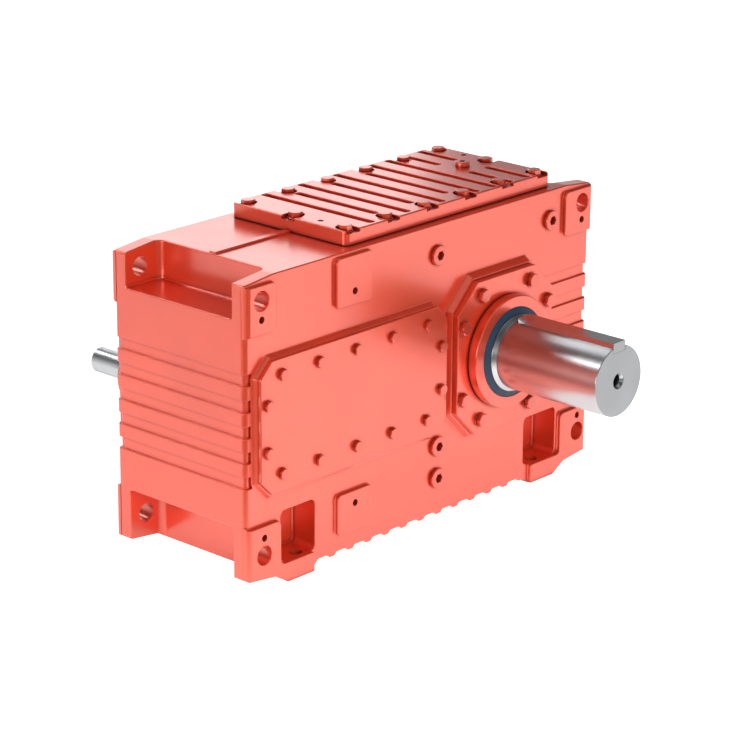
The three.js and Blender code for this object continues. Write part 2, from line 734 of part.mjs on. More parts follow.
// tube between the wheel and the rear bearing
function rearSpacer(kind) {
  const { driven, spacer } = INTERMEDIATE[kind];
  return tube(
    AXIS[kind], BEARING[kind].bore + GAP, spacer,
    driven.wheel.face[1] + GAP, WIDTH - bearingInnerEnd(kind) - GAP,
  );
}
for (const [kind, { driven, driving, profile }] of Object.entries(INTERMEDIATE)) {
  const x = AXIS[kind];
  const key = KEY[kind];
  const shaft = turned(profile, x).add(pinionTeeth(driving, x)).subtract(keySeat(x, key));
  add(`${kind}_intermediate_pinion_shaft`, shaft, GEAR_STEEL);
  add(`${kind}_stage_gear`, keyedWheel(driven, x, key), GEAR_STEEL);
  add(`${kind}_stage_gear_key`, wheelKey(x, key), STEEL);
  add(`${kind}_intermediate_spacer`, rearSpacer(kind), GEAR_STEEL);
  addBearings(`${kind}_intermediate`, kind);
}

// ---------- output shaft with the output gear ----------
function outputShaft() {
  const x = AXIS.output;
  const { radius, journal, end } = OUTPUT_SHAFT;
  const { bore } = BEARING.output;
  const profile = [
    [0, end], [radius - 3, end], [radius, end + 3], [radius, -63], [journal, -60.5],
    [journal, -14], [bore, -8], [bore, 70], [88, 70], [88, 162.3], [100, 162.3], [100, 176],
    [86, 178], [86, 290.7], [bore, 290.7], [bore, 340], [bore - 2, 342], [0, 342],
  ];
  const centreHole = [[0, end + 60], [13, end + 60], [13, end + 9], [19, end - 1], [0, end - 1]];
  return turned(profile, x, 24)
    .subtract(keySeat(x, KEY.output))
    .subtract(keySeat(x, KEY.wheel))
    .subtract(turned(centreHole, x, 20));
}
// both sides are hollowed to leave a thinner web between hub and rim
function outputGear() {
  const x = AXIS.output;
  return keyedWheel(STAGES[2], x, KEY.wheel, 24)
    .subtract(tube(x, 118, 178, 40, 90))
    .subtract(tube(x, 118, 178, 142, 200));
}
function outputKey() {
  const key = KEY.output;
  return keyBlock(AXIS.output, key, OUTPUT_SHAFT.end + 0.6, key.y1 - 0.2, key.height);
}
function outputSpacer() {
  const { bore } = BEARING.output;
  return tube(AXIS.output, bore + GAP, 92, bearingInnerEnd("output") + 0.6, 69.4, 24);
}
add("output_shaft", outputShaft(), STEEL);
add("output_shaft_key", outputKey(), STEEL);
add("output_gear", outputGear(), GEAR_STEEL);
add("output_gear_key", wheelKey(AXIS.output, KEY.wheel), STEEL);
add("output_spacer", outputSpacer(), GEAR_STEEL);
addBearings("output", "output");

export default root;
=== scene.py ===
"""Parallel-shaft gearbox: a red casting with covers, bolts, plugs, seals and two visible shafts.

Everything is laid out in millimetres: X from the left end face, Y from the front face of the
housing towards the rear, Z up from the foot plane. The input shaft leaves through the rear,
the output shaft through the front. place() turns the layout into the row frame in metres.
"""
import math

import bmesh
import bpy
from mathutils import Matrix, Vector


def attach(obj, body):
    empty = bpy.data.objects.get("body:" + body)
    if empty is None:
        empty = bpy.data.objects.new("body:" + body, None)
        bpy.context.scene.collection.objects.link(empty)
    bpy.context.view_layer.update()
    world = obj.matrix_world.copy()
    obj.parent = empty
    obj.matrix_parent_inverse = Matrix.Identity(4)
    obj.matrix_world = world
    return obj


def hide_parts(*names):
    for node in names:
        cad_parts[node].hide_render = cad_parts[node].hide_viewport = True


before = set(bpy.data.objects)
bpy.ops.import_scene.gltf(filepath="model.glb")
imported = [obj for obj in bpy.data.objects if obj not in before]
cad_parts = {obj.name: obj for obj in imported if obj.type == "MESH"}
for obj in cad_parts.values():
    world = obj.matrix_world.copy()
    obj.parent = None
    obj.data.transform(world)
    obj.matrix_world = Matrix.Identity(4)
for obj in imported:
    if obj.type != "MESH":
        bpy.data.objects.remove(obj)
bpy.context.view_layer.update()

# ------------------------------------------------------------------ driving dimensions (mm)
LENGTH, WIDTH, TOP = 975.0, 336.0, 597.0
AXIS_Z = 315.0                      # height of all shaft axes
X_INPUT, X_FIRST, X_SECOND, X_OUTPUT = 108.0, 242.0, 422.0, 688.0
GAP = 0.3                           # clearance between neighbouring parts
WALL = 22                           # thickness of the casting
TAPPED_R = 8.2                      # holes for the M16 bolts
ORIGIN_Y = 96.0                     # the row frame's origin lies this far behind the front face
SHIFT = (WIDTH / 2 - ORIGIN_Y) / 1000   # middle of the housing in the row frame, metres

LEFT_BOSS, OUTPUT_BOSS = 10, 15     # how far the bosses stand out of the front and rear faces
LEFT_PLATE, OUTPUT_PLATE = 17, 28   # how far the bearing cover plates stand out
COVER_SEAT = 619                    # bolt seats sunk into the inspection cover
VENT = (787, 174)

PLUGS = {"fill": (516.6, 536.5), "level": (850.6, 536.5), "check": (521, 153), "drain": (521, 88)}
# (x, y) on the inspection cover
COVER_BOLTS = [(x, y) for x in (306, 415, 524, 634, 744, 850) for y in (43, 292)]
COVER_BOLTS += [(306, 168), (852, 168)]
# (x, z) on the cover plates
OUTPUT_BOLTS = [(X_OUTPUT + 145 * math.cos(math.radians(a)), AXIS_Z + 145 * math.sin(math.radians(a)))
                for a in (30, 60, 120, 150, 210, 240, 300, 330)]
LEFT_BOLTS = [(x, z) for z in (412.0, 223.0) for x in (78, 175, 275, 373, 471)]
LEFT_BOLTS += [(41, 361), (41, 271), (512, 361), (512, 275)]


def place(v):
    return ((v[0] - LENGTH / 2) / 1000, (v[1] - ORIGIN_Y) / 1000, v[2] / 1000)


# ------------------------------------------------------------------ objects and booleans
def link_object(name, data):
    ob = bpy.data.objects.new(name, data)
    bpy.context.scene.collection.objects.link(ob)
    return ob


def mesh_object(verts, faces):
    """Object from vertices already in the row frame; piece() names it later."""
    mesh = bpy.data.meshes.new("part")
    mesh.from_pydata(verts, [], faces)
    return link_object("part", mesh)


def solid(verts, faces):
    """Closed body from vertices in the layout frame, with its normals outwards."""
    ob = mesh_object([place(v) for v in verts], faces)
    ob.data.validate()
    bm = bmesh.new()
    bm.from_mesh(ob.data)
    bmesh.ops.remove_doubles(bm, verts=bm.verts, dist=1e-7)
    bmesh.ops.recalc_face_normals(bm, faces=bm.faces)
    bm.to_mesh(ob.data)
    bm.free()
    return ob


def discard(ob):
    mesh = ob.data
    bpy.data.objects.remove(ob)
    bpy.data.meshes.remove(mesh)


def evaluated_mesh(ob):
    bpy.context.view_layer.update()
    depsgraph = bpy.context.evaluated_depsgraph_get()
    return bpy.data.meshes.new_from_object(ob.evaluated_get(depsgraph))


def combine(target, tool, operation):
    """Boolean of target with tool, kept in target; tool is removed."""
    modifier = target.modifiers.new("op", "BOOLEAN")
    modifier.operation = operation
    modifier.solver = "MANIFOLD"
    modifier.object = tool
    mesh = evaluated_mesh(target)
    # the manifold solver returns nothing when an operand is not watertight
    if len(mesh.polygons) < 4:
        modifier.solver = "EXACT"
        bpy.data.meshes.remove(mesh)
        mesh = evaluated_mesh(target)
    target.modifiers.clear()
    old = target.data
    target.data = mesh
    bpy.data.meshes.remove(old)
    discard(tool)
    return target


def add(target, *tools):
    for tool in tools:
        combine(target, tool, "UNION")
    return target


def cut(target, *tools):
    for tool in tools:
        combine(target, tool, "DIFFERENCE")
    return target


def keep(target, tool):
    return combine(target, tool, "INTERSECT")


def gather(parts):
    """Joins separate, non-touching meshes into one object."""
    verts, faces = [], []
    for part in parts:
        first = len(verts)
        verts += [v.co.copy() for v in part.data.vertices]
        faces += [[first + i for i in f.vertices] for f in part.data.polygons]
        discard(part)
    return mesh_object(verts, faces)


def mirrored(ob):
    """The same feature on the opposite side, front to rear."""
    mesh = ob.data.copy()
    for v in mesh.vertices:
        v.co.y = 2 * SHIFT - v.co.y
    mesh.flip_normals()
    return link_object("part", mesh)


def both(ob):
    return gather([mirrored(ob), ob])


def tidy(ob, degrees=0.6):
    """Merges the flat triangles left by the booleans and drops slivers."""
    bm = bmesh.new()
    bm.from_mesh(ob.data)
    bmesh.ops.remove_doubles(bm, verts=bm.verts, dist=2e-6)
    bmesh.ops.dissolve_limit(bm, angle_limit=math.radians(degrees), verts=bm.verts, edges=bm.edges)
    bm.to_mesh(ob.data)
    bm.free()
    return ob


# ------------------------------------------------------------------ flat outlines
def rectangle(x0, x1, y0, y1):
    return [(x0, y0), (x1, y0), (x1, y1), (x0, y1)]


def chamfered(x0, x1, z0, z1, c):
    return [(x0 + c, z0), (x1 - c, z0), (x1, z0 + c), (x1, z1 - c),
            (x1 - c, z1), (x0 + c, z1), (x0, z1 - c), (x0, z0 + c)]


def arc(u, v, radius, start, end, segments=5):
    angles = [math.radians(start + (end - start) * i / segments) for i in range(segments + 1)]
    return [(u + radius * math.cos(a), v + radius * math.sin(a)) for a in angles]


def rounded(x0, x1, y0, y1, r, segments=8):
    points = []
    for u, v, start in ((x1 - r, y1 - r, 0), (x0 + r, y1 - r, 90),
                        (x0 + r, y0 + r, 180), (x1 - r, y0 + r, 270)):
        points += arc(u, v, r, start, start + 90, segments)
    return points


def circle(x, z, radius, segments=40):
    return [(x + radius * math.cos(2 * math.pi * i / segments),
             z + radius * math.sin(2 * math.pi * i / segments)) for i in range(segments)]


def hexagon(x, z, flats):
    radius = flats / math.sqrt(3)
    return [(x + radius * math.cos(i * math.pi / 3), z + radius * math.sin(i * math.pi / 3))
            for i in range(6)]


def inset(points, distance):
    """Counter-clockwise polygon moved inwards."""
    out = []
    for i, corner in enumerate(points):
        before, here, after = Vector(points[i - 1]), Vector(corner), Vector(points[(i + 1) % len(points)])
        u, v = (here - before).normalized(), (after - here).normalized()
        normal_u, normal_v = Vector((-u.y, u.x)), Vector((-v.y, v.x))
        mitre = normal_u + normal_v
        mitre = mitre / max(1e-6, mitre.dot(normal_u))
        out.append(tuple(here + mitre * distance))
    return out


def fillet(points, radii, segments=6):
    """Polygon with its corners turned into arcs; radii is one number or one for each corner."""
    out = []
    for i, corner in enumerate(points):
        radius = radii[i] if isinstance(radii, (list, tuple)) else radii
        here = Vector(corner)
        u, v = Vector(points[i - 1]) - here, Vector(points[(i + 1) % len(points)]) - here
        length_u, length_v = u.length, v.length
        u, v = u / length_u, v / length_v
        half = math.acos(max(-1, min(1, u.dot(v)))) / 2
        if radius <= 0 or half > math.radians(88):
            out.append(tuple(here))
            continue
        reach = min(radius / math.tan(half), 0.46 * length_u, 0.46 * length_v)
        radius = reach * math.tan(half)
        centre = here + (u + v).normalized() * (radius / math.sin(half))
        s, e = here + u * reach - centre, here + v * reach - centre
        turn = s.angle_signed(e)
        for k in range(segments + 1):
            a = -turn * k / segments
            out.append((centre.x + s.x * math.cos(a) - s.y * math.sin(a),
                        centre.y + s.x * math.sin(a) + s.y * math.cos(a)))
    return out


def outline(points, radii, distance, segments=6):
    """Polygon moved inwards with its corners rounded; a radius of 0 keeps a corner sharp."""
    if isinstance(radii, (int, float)):
        radii = [radii] * len(points)
    if not any(radii):
        return inset(points, distance)
    moved = []
    for i, radius in enumerate(radii):
        if radius == 0:
            moved.append(0)
            continue
        a, b, c = points[i - 1], points[i], points[(i + 1) % len(points)]
        convex = (b[0] - a[0]) * (c[1] - b[1]) - (b[1] - a[1]) * (c[0] - b[0]) > 0
        moved.append(max(0.4, radius - distance if convex else radius + distance))
    return fillet(inset(points, distance), moved, segments)


def flare(radius, degrees):
    """Quarter arc as (outward distance, height): tangent to the surface at 0, upright at 90."""
    return [(radius * (1 - math.sin(math.radians(q))), radius * (1 - math.cos(math.radians(q))))
            for q in degrees]


# ------------------------------------------------------------------ solids
def point(u, v, level, axis):
    """Outlines are (y, z) along x, (x, z) along y and (x, y) along z."""
    return {"x": (level, u, v), "y": (u, level, v), "z": (u, v, level)}[axis]


def skin(rings):
    """Closed body through rings with the same number of points."""
    n = len(rings[0])
    last = (len(rings) - 1) * n
    faces = [list(range(n)), [last + i for i in range(n)]]
    for k in range(len(rings) - 1):
        for i in range(n):
            j = (i + 1) % n
            faces.append([k * n + i, k * n + j, (k + 1) * n + j, (k + 1) * n + i])
    return solid([v for ring in rings for v in ring], faces)


def loft(outlines, levels, axis):
    return skin([[point(u, v, level, axis) for u, v in points]
                 for points, level in zip(outlines, levels)])


def prism(points, low, high, axis="y"):
    return loft([points, points], [low, high], axis)


def box(x0, x1, y0, y1, z0, z1):
    return prism(rectangle(x0, x1, y0, y1), z0, z1, "z")


def lathe(profile, centre, segments=64, axis="y"):
    """Profile of (radius, level) turned about an axis through centre.

    A profile that starts off the axis is closed into a ring.
    """
    verts, rings = [], []
    for radius, level in profile:
        first = len(verts)
        if radius < 1e-9:
            rings.append([first] * segments)
            verts.append(point(*centre, level, axis))
        else:
            rings.append([first + i for i in range(segments)])
            verts += [point(u, v, level, axis) for u, v in circle(*centre, radius, segments)]
    following = rings[1:] + (rings[:1] if profile[0][0] > 1e-9 else [])
    faces = []
    for a, b in zip(rings, following):
        for i in range(segments):
            j = (i + 1) % segments
            face = list(dict.fromkeys((a[i], a[j], b[j], b[i])))
            if len(face) > 2:
                faces.append(face)
    return solid(verts, faces)


def rod(x, z, radius, y0, y1, segments=40):
    return lathe([(0, y0), (radius, y0), (radius, y1), (0, y1)], (x, z), segments)


def upright_rod(x, y, radius, z0, z1, segments=32):
    return lathe([(0, z0), (radius, z0), (radius, z1), (0, z1)], (x, y), segments, "z")


def plate(points, radius, back, front, edge, axis="y", steps=4, segments=6):
    """Plate from back to front; its front side has an edge radius, its corners a radius."""
    sign = 1 if front > back else -1
    shoulder = front - sign * edge
    outlines = [fillet(points, radius, segments)] * 2
    levels = [back, shoulder]
    for k in range(1, steps + 1):
        a = math.pi / 2 * k / steps
        distance = edge * (1 - math.cos(a))
        outlines.append(fillet(inset(points, distance), max(0.6, radius - distance), segments))
        levels.append(shoulder + sign * edge * math.sin(a))
    return loft(outlines, levels, axis)


def feature(points, radii, surface, end, start_edge, end_edge, axis="y",
            draft=0.0, root=0.0, lift=None, segments=6):
    """Raised or sunk shape that leaves the surface through a fillet and ends in a rounded edge.

    root carries it on behind the surface. lift(x, y) bends all but the end edge along z.
    """
    sign = 1 if end > surface else -1
    height = abs(end - surface)
    edge_steps = 4
    stations = []  # (outward distance, height above the surface)
    if start_edge:
        # the fillet starts at 18 degrees and runs on in a straight line to 0.3 below the surface
        first = math.radians(18)
        toe = start_edge * (1 - math.sin(first)) + (start_edge * 0.049 + 0.3) / math.tan(first)
        if root:
            stations.append((toe, -root))
        stations.append((toe, -0.3))
        stations += flare(start_edge, (18, 36, 54, 72, 90))
    else:
        stations.append((0, -max(root, 0.3)))
    if end_edge:
        stations.append((0, height - end_edge))
        for k in range(1, edge_steps + 1):
            a = math.pi / 2 * k / edge_steps
            stations.append((-end_edge * (1 - math.cos(a)),
                             height - end_edge + end_edge * math.sin(a)))
    else:
        stations.append((0, height))
    outlines = [outline(points, radii, -out + draft * max(0, h) / height, segments)
                for out, h in stations]
    levels = [surface + sign * h for _, h in stations]
    if lift is None:
        return loft(outlines, levels, axis)
    lifted = len(outlines) - edge_steps - 1
    return skin([[(x, y, level + (lift(x, y) if k < lifted else 0.0)) for x, y in ring]
                 for k, (ring, level) in enumerate(zip(outlines, levels))])


# ------------------------------------------------------------------ shader helpers
def feed(tree, socket, value):
    """Links the value when it is a socket, otherwise sets it."""
    if isinstance(value, bpy.types.NodeSocket):
        tree.links.new(value, socket)
    else:
        socket.default_value = value


def add_node(tree, kind, inputs=None, **settings):
    node = tree.nodes.new("ShaderNode" + kind)
    for key, value in settings.items():
        setattr(node, key, value)
    for key, value in (inputs or {}).items():
        feed(tree, node.inputs[key], value)
    return node


def blank_tree(owner):
    owner.use_nodes = True
    owner.node_tree.nodes.clear()
    return owner.node_tree


def principled_material(name):
    """Returns the material, its tree, its shader's inputs and the object coordinates."""
    material = bpy.data.materials.new(name)
    tree = blank_tree(material)
    output = add_node(tree, "OutputMaterial")
    shader = add_node(tree, "BsdfPrincipled")
    feed(tree, output.inputs[0], shader.outputs[0])
    return material, tree, shader.inputs, add_node(tree, "TexCoord").outputs["Object"]


def remap(tree, source, low, high, start=0.35, end=0.65):
    """Takes start..end of the source to low..high."""
    return add_node(tree, "MapRange", {
        "From Min": start, "From Max": end, "To Min": low, "To Max": high, "Value": source,
    }).outputs[0]


def noise(tree, vector, scale, detail=3.0):
    inputs = {"Scale": scale, "Detail": detail, "Vector": vector}
    return add_node(tree, "TexNoise", inputs).outputs["Fac"]


def mix_colour(tree, factor, a, b, blend="MIX"):
    inputs = {"Factor": factor, "A": a, "B": b}
    return add_node(tree, "Mix", inputs, data_type="RGBA", blend_type=blend).outputs["Result"]


def mottle(tree, source, colour, low, high):
    """Colour that varies between low and high times its brightness."""
    dark, light = ((*[c * k for c in colour], 1) for k in (low, high))
    return mix_colour(tree, remap(tree, source, 0, 1), dark, light)


def bump(tree, shader, height, strength, distance):
    inputs = {"Strength": strength, "Distance": distance, "Height": height}
    feed(tree, shader["Normal"], add_node(tree, "Bump", inputs).outputs[0])


# ------------------------------------------------------------------ materials
def paint(name, colour):
    """Glossy metallic paint with painted shade in the creases: ambient occlusion darkens its colour and
    thins its coat there.
    """
    material, tree, shader, coords = principled_material(name)
    tone = mottle(tree, noise(tree, coords, scale=5.0, detail=4.0), colour, low=0.94, high=1.05)
    # painted shade: ambient occlusion marks the creases and corners where shade falls
    crease = add_node(tree, "AmbientOcclusion", {"Distance": 0.012}, samples=8).outputs["AO"]
    open_range = dict(start=0.42, end=0.9)  # from deep in a crease to open surface
    painted_crease_shade = remap(tree, crease, low=1.0, high=0.0, **open_range)
    # painted shade: the colour is multiplied towards a dark red in the creases
    feed(tree, shader["Base Color"],
         mix_colour(tree, painted_crease_shade, tone, (0.34, 0.20, 0.20, 1), "MULTIPLY"))
    feed(tree, shader["Roughness"],
         remap(tree, noise(tree, coords, scale=7.0, detail=1.0), low=0.31, high=0.37))
    # painted shade: the coat thins in the creases, which dims the reflections there
    feed(tree, shader["Coat Weight"], remap(tree, crease, low=0.1, high=1.0, **open_range))
    shader["Coat Roughness"].default_value = 0.2
    shader["Coat IOR"].default_value = 1.9
    shader["Metallic"].default_value = 0.70
    return material


def steel(name, colour, roughness, streak):
    """Turned and ground steel with fine rings round an axis along Y; streak is their strength."""
    material, tree, shader, coords = principled_material(name)
    squeezed = add_node(tree, "Mapping", {"Scale": (1.0, 90.0, 1.0), "Vector": coords}).outputs[0]
    rings = noise(tree, squeezed, scale=10.0, detail=4.0)
    shader["Metallic"].default_value = 1.0
    cloud = mottle(tree, noise(tree, coords, scale=14.0), colour, low=0.93, high=1.0)
    # painted shade: faces square to the shaft axis, such as the faced ends, get a darker base colour than
    # the turned and ground surfaces
    normal = add_node(tree, "NewGeometry").outputs["Normal"]
    along_y = add_node(tree, "SeparateXYZ", {0: normal}).outputs["Y"]
    size = add_node(tree, "Math", {0: along_y}, operation="ABSOLUTE").outputs[0]
    painted_end_shade = remap(tree, size, low=0, high=1, start=0.9, end=0.97)
    feed(tree, shader["Base Color"],
         mix_colour(tree, painted_end_shade, cloud, (0.58, 0.58, 0.58, 1), "MULTIPLY"))
    spread = 0.02 * streak
    feed(tree, shader["Roughness"],
         remap(tree, rings, low=roughness - spread, high=roughness + spread))
    if streak >= 0.5:
        bump(tree, shader, rings, strength=0.05 * streak, distance=0.0002)
    return material


def rubber(name, colour, roughness):
    material, tree, shader, coords = principled_material(name)
    fine = noise(tree, coords, scale=400.0, detail=2.0)
    feed(tree, shader["Base Color"], mottle(tree, fine, colour, low=0.85, high=1.0))
    feed(tree, shader["Roughness"],
         remap(tree, noise(tree, coords, scale=60.0), low=roughness - 0.05, high=roughness + 0.08))
    bump(tree, shader, fine, strength=0.1, distance=0.0003)
    return material


CORAL = (0.94, 0.085, 0.03)
BRIGHT_STEEL = (0.70, 0.71, 0.725)

# finishes of the pieces: (material, slot)
CASTING = (paint("red_paint", CORAL), "red_paint")
COVER = (paint("red_paint_covers", CORAL), "red_paint")
FASTENER = (paint("painted_fasteners", tuple(c * 0.9 for c in CORAL)), "painted_fasteners")
SHAFT = (steel("shaft_steel", BRIGHT_STEEL, roughness=0.26, streak=0.25), "shaft_steel")
KEY = (steel("key_steel", BRIGHT_STEEL, roughness=0.2, streak=0.25), "key_steel")
GEAR_STEEL = steel("gear_steel", (0.42, 0.43, 0.45), roughness=0.32, streak=1.6)
BEARING_STEEL = steel("bearing_steel", (0.66, 0.67, 0.69), roughness=0.16, streak=0.8)
SEAL = (rubber("seal_rubber", (0.012, 0.030, 0.058), roughness=0.45), "seal_rubber")
GASKET = rubber("gasket", (0.06, 0.010, 0.008), roughness=0.7)


def piece(ob, name, finish, *nodes, body="housing_body", angle=32.0):
    """Names and shades a finished part, hangs it under its body and hides the CAD nodes it stands for;
    edges sharper than angle stay sharp.
    """
    material, slot = finish
    ob.name = name
    ob.data.name = name
    ob.data.materials.clear()
    ob.data.materials.append(material)
    ob.data.polygons.foreach_set("use_smooth", [True] * len(ob.data.polygons))
    ob.data.set_sharp_from_angle(angle=math.radians(angle))
    weighted = ob.modifiers.new("weighted", "WEIGHTED_NORMAL")
    weighted.keep_sharp = True
    weighted.weight = 90
    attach(ob, body)
    if nodes:
        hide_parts(*nodes)


# ------------------------------------------------------------------ housing casting
CASTING_EDGE = 2.8
PLAN_R = 10         # corners of the housing seen from above
PAD_HEIGHT = 8

# silhouette from the front, as (x, z, corner radius); the middle rows are ribs under the floor
SILHOUETTE = [(0, 28, 4), (70, 20, 9), (104, 0, 8), (174, 0, 3), (192, 16, 7)]
rib_x = 230.0
while rib_x < 790:
    SILHOUETTE += [(rib_x - 12, 16, 2.2), (rib_x - 6, 10, 2.4),
                   (rib_x + 6, 10, 2.4), (rib_x + 12, 16, 2.2)]
    rib_x += 50.1
SILHOUETTE += [(784, 16, 7), (801, 0, 3), (871, 0, 8), (905, 20, 9), (975, 28, 4),
               (975, 589, 4), (900, 597, 60), (75, 597, 60), (0, 589, 4)]

# flat pads on the front and rear faces, as (x, z, corner radius); some run on past the ends
PADS = [
    # upper left and upper right
    [(-20, 493, 0), (75, 493, 11), (75, 585, 11), (-20, 585, 0)],
    [(889, 495, 11), (LENGTH + 20, 495, 0), (LENGTH + 20, 585, 0), (889, 585, 11)],
    # left foot and right foot
    [(-20, 30.3, 0), (70, 20, 9), (104, 0, 8), (174, 0, 3),
     (174, 40, 6), (85, 40, 10), (85, 128, 11), (-20, 128, 0)],
    [(801, 0, 3), (871, 0, 8), (905, 20, 9), (LENGTH + 20, 30.3, 0),
     (LENGTH + 20, 125, 0), (892, 125, 11), (892, 40, 10), (801, 40, 6)],
    # above and below the left boss
    [(231, 495, 10), (329, 495, 10), (329, 590, 10), (231, 590, 10)],
    [(236, 50, 10), (330, 50, 10), (330, 131, 10), (236, 131, 10)],
]

# (lower z, upper z) of the grooves round the ends
END_GROOVES = [(204.5, 229), (253, 277), (301, 326), (350, 375), (400, 424)]
# lower wall of a groove, as (height above its lower z, depth)
GROOVE_WALL = [(-0.4, -0.05), (0.3, 0.12), (1.0, 0.65), (1.4, 1.5),
               (1.6, 2.8), (1.9, 3.8), (2.5, 4.35), (3.3, 4.5)]

# (x, radius, width of the ring of metal left round it inside, depth of that ring)
BORES = [(X_INPUT, 55, 13, 30), (X_FIRST, 60, 17, 33), (X_SECOND, 90, 16, 48),
         (X_OUTPUT, 120, 18, 48)]

RECESS_Y = (32, 304)        # recesses in the ends
RECESS_LIP = 2.6
POCKETS_X = ((91, 182), (785, 884))     # pockets over the feet
POCKET_Z = (40.5, 140)

# (x, z) of the large and small holes in the pads
LARGE_HOLES = [(36.5, 556), (941.5, 555.5), (41, 71), (945.7, 74.3)]
SMALL_HOLES = [(36.5, 521), (941, 521), (41, 105), (945, 108.6), (280, 521), (283, 106)]


def corner_outline(corners, distance, segments=6):
    return outline([c[:2] for c in corners], [c[2] for c in corners], distance, segments)


def casting_block():
    rows = flare(CASTING_EDGE, (0, 22.5, 45, 67.5, 90))
    rows += [(d, WIDTH - y) for d, y in rows[::-1]]
    block = loft([corner_outline(SILHOUETTE, d, 5) for d, _ in rows], [y for _, y in rows], "y")
    return keep(block, prism(rounded(0, LENGTH, 0, WIDTH, PLAN_R), -5, 605, "z"))


def end_groove(z0, z1):
    """Rounded groove that wraps round both ends: two end blocks less the core that remains."""
    y0, y1, low, high = -5, WIDTH + 5, z0 - 0.5, z1 + 0.5
    zone = gather([box(-5, 17.5, y0, y1, low, high), box(830, LENGTH + 5, y0, y1, low, high)])
    stations = [(z0 + rise, d) for rise, d in GROOVE_WALL]
    stations += [(z1 - rise, d) for rise, d in GROOVE_WALL[::-1]]
    core = [rounded(d, LENGTH - d, d, WIDTH - d, PLAN_R - max(0, d) * 0.6) for _, d in stations]
    return cut(zone, loft(core, [z for z, _ in stations], "z"))


def face_pads():
    pads = gather([feature([c[:2] for c in corners], [c[2] for c in corners], 0, -PAD_HEIGHT,
                           2.4, 2.4, root=6) for corners in PADS])
    keep(pads, prism(corner_outline(SILHOUETTE, 0, 5), -PAD_HEIGHT - 1, WIDTH + 9))
    limit = rounded(0, LENGTH, -PAD_HEIGHT, WIDTH + PAD_HEIGHT, PLAN_R)
    return both(keep(pads, prism(limit, -5, 605, "z")))


def output_octagon(half_width, half_height, chamfer):
    return chamfered(X_OUTPUT - half_width, X_OUTPUT + half_width,
                     AXIS_Z - half_height, AXIS_Z + half_height, chamfer)


def oil_space():
    """Hollow of the casting, less the rings of metal round the bores."""
    y0, y1 = WALL, WIDTH - WALL
    space = box(WALL, LENGTH - WALL, y0, y1, 165, 500)
    add(space, box(205, 770, y0, y1, 38, TOP - WALL), box(109, 866, y0, y1, 300, TOP - WALL),
        box(105, 870, 68, WIDTH - 68, 40, 170))
    for x, radius, ring, depth in BORES:
        cut(space, both(rod(x, AXIS_Z, radius + ring, 0, depth, 64)))
    return space


def top_slope(x, y):
    """How far the sloping top near an end lies below the flat top, as a negative height."""
    if x < 75:
        return (x - 75) * 8 / 75
    if x > 900:
        return (900 - x) * 8 / 75
    return 0.0


def end_recess(right, reach, rim_z, rim_radii, rim_segments, **shape):
    """Recess in an end, open to the end face through a flared rim."""
    x0, x1 = (LENGTH - reach, LENGTH + 30) if right else (-30, reach)
    recess = feature(rectangle(x0, x1, *RECESS_Y), 14, axis="z", segments=10, end_edge=4, **shape)
    # (outward distance, depth behind the end face); the first leads the arc out of the face
    stations = [(RECESS_LIP * 0.691 + (RECESS_LIP * 0.049 + 0.3) / 0.325, -0.3)]
    stations += flare(RECESS_LIP, (18, 36, 54, 72, 90))
    stations.append((-0.05, 22))
    rim = rectangle(*RECESS_Y, *rim_z)
    return add(recess, loft([outline(rim, rim_radii, -out, rim_segments) for out, _ in stations],
                            [LENGTH - depth if right else depth for _, depth in stations], "x"))


def face_holes():
    """Holes in the pads and for the screw plugs, in the front face and the rear face."""
    holes = [feature(circle(x, z, 18.5), 0, -PAD_HEIGHT, 40, 1.8, 0) for x, z in LARGE_HOLES]
    holes += [feature(circle(x, z, 6.5, 24), 0, -PAD_HEIGHT, 14, 1.0, 0) for x, z in SMALL_HOLES]
    holes += [rod(x, z, 16.5, -20, WALL + 5) for x, z in PLUGS.values()]
    return both(gather(holes))


def housing():
    casting = casting_block()
    for z0, z1 in END_GROOVES:
        cut(casting, end_groove(z0, z1))
    add(casting, face_pads())
    add(casting, both(feature(chamfered(18.5, 534.5, 176, 449, 35), 7, 0, -LEFT_BOSS,
                              2.4, 2.2, draft=5, root=6)))
    add(casting, both(feature(output_octagon(148, 165.5, 61), 7, 0, -OUTPUT_BOSS,
                              2.6, 2.4, draft=6.5, root=6)))
    # low ridges on the top, left and right of the inspection cover
    add(casting, gather([feature(rectangle(x0, x1, 160, 176), 0, TOP, TOP + 4, 1.6, 1.5, "z", root=4)
                         for x0, x1 in ((60, 285), (873.5, 915))]))

    cut(casting, oil_space())
    cut(casting, gather([rod(x, AXIS_Z, radius + GAP, -20, WIDTH + 20, 96)
                         for x, radius, _, _ in BORES]))
    # opening under the inspection cover
    cut(casting, prism(rounded(326, 832, 62, 273, 18), TOP - 30, TOP + 10, "z"))

    for right in (False, True):
        upper = end_recess(right, 86, (522, 640), [4.5, 4.5, 0, 0], 6, surface=TOP, end=522,
                           start_edge=RECESS_LIP, root=15, lift=top_slope)
        lower = end_recess(right, 82, (-40, 127), [0, 0, 12, 12], 8, surface=-12, end=127,
                           start_edge=0)
        cut(casting, upper, lower)

    cut(casting, both(gather([feature(rectangle(x0, x1, *POCKET_Z), 12, 0, 58, 2.2, 4, segments=8)
                              for x0, x1 in POCKETS_X])))
    # clears the pads in front of the pockets
    cut(casting, both(gather([prism(rounded(x0, x1, *POCKET_Z, 12), -12, 5)
                              for x0, x1 in POCKETS_X])))
    # foundation bolt holes
    cut(casting, gather([upright_rod(x, y, 13, -5, 60)
                         for x in (146, 829) for y in (16, WIDTH - 16)]))
    cut(casting, face_holes())
    cut(casting, gather([upright_rod(x, y, TAPPED_R, TOP - 18, TOP + 10, 16)
                         for x, y in COVER_BOLTS]))
    cut(casting, both(gather([rod(x, z, TAPPED_R, -20, 14, 16) for x, z in OUTPUT_BOLTS])))
    return tidy(casting, 0.25)


piece(housing(), "housing_casting", CASTING, "housing")


